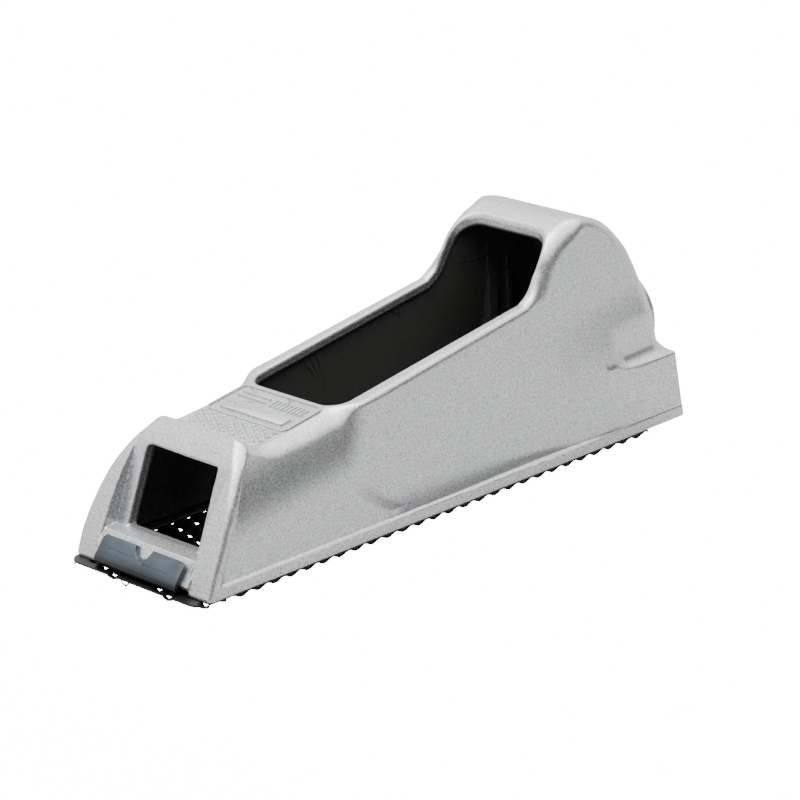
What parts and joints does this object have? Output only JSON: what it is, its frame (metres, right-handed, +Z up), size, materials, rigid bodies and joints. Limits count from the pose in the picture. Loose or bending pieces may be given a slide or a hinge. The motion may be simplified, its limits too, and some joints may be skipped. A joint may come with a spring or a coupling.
{
  "type": "shaping plane",
  "caption": "Die-cast shaping plane, nose at -X, with a perforated rasp blade on its sole, hooked at the nose and drawn tight by a screw at the heel.",
  "frame": {"origin": "middle of the bounding box's footprint, on the plane of the tooth tips", "axes": "+X from the nose to the heel, +Y across, +Z up"},
  "size_m": [0.1562, 0.044, 0.0565],
  "materials": {
    "body_paint": "silver metallic paint with a fine grain outside, black inside",
    "blade_black": "black lacquered tool steel",
    "anchor_steel": "blue-grey tempered spring steel",
    "zinc_steel": "bright zinc plate"
  },
  "bodies": {
    "casting": {"body": "body_paint"},
    "blade_unit": {"blade": "blade_black", "front_anchor": "anchor_steel", "rear_anchor": "anchor_steel"},
    "hook_unit": {"tension_hook": "zinc_steel", "tension_nut": "zinc_steel"},
    "screw_unit": {"tension_screw": "zinc_steel", "screw_washer": "zinc_steel"}
  },
  "joints": [
    {"name": "screw_turn", "type": "hinge", "parent": "casting", "child": "screw_unit", "pos_m": [0.0781, 0, 0.0227], "axis": [1, 0, 0], "range_deg": [0, 2161]},
    {"name": "hook_slide", "type": "slide", "parent": "casting", "child": "hook_unit", "axis": [-1, 0, 0], "range_m": [0, 0.0043]},
    {"name": "blade_slide", "type": "slide", "parent": "casting", "child": "blade_unit", "axis": [-1, 0, 0], "range_m": [0, 0.0042]}
  ],
  "couplings": [
    {"joint": "hook_slide", "follows": "blade_slide", "ratio": 1},
    {"joint": "screw_turn", "follows": "blade_slide", "rad_per_m": 8976}
  ]
}
